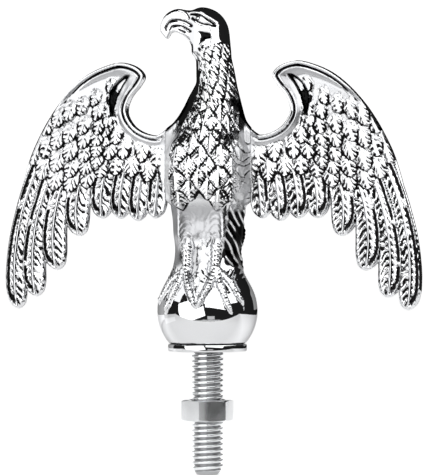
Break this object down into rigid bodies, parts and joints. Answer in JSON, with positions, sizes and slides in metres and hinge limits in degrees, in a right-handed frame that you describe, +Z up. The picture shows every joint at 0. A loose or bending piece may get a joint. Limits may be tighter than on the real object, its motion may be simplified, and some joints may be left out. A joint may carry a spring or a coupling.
{
  "type": "hood ornament",
  "caption": "Cast eagle with raised, spread wings on a ball pedestal, with a threaded mounting stud and a plain hex nut that clamps the panel.",
  "frame": {"origin": "centre of the foot's flat underside, on the axis of the stud", "axes": "+Z up along the stud towards the eagle, +Y backwards, +X to the right as seen from the front"},
  "size_m": [0.125, 0.0311, 0.1387],
  "materials": {
    "chrome_casting": "polished",
    "chrome_pins": "polished",
    "chrome_foot": "polished",
    "brass_insert": "satin",
    "zinc_stud": "satin",
    "zinc_nut": "gloss"
  },
  "bodies": {
    "eagle": {"eagle_body": "chrome_casting", "left_wing": "chrome_casting", "right_wing": "chrome_casting", "wing_pins": "chrome_pins", "foot_plate": "chrome_foot", "thread_insert": "brass_insert", "stud": "zinc_stud"},
    "nut": {"hex_nut": "zinc_nut"}
  },
  "joints": [
    {"name": "nut_travel", "type": "slide", "parent": "eagle", "child": "nut", "axis": [0, 0, 1], "range_m": [-0.01588, 0.01429]}
  ]
}
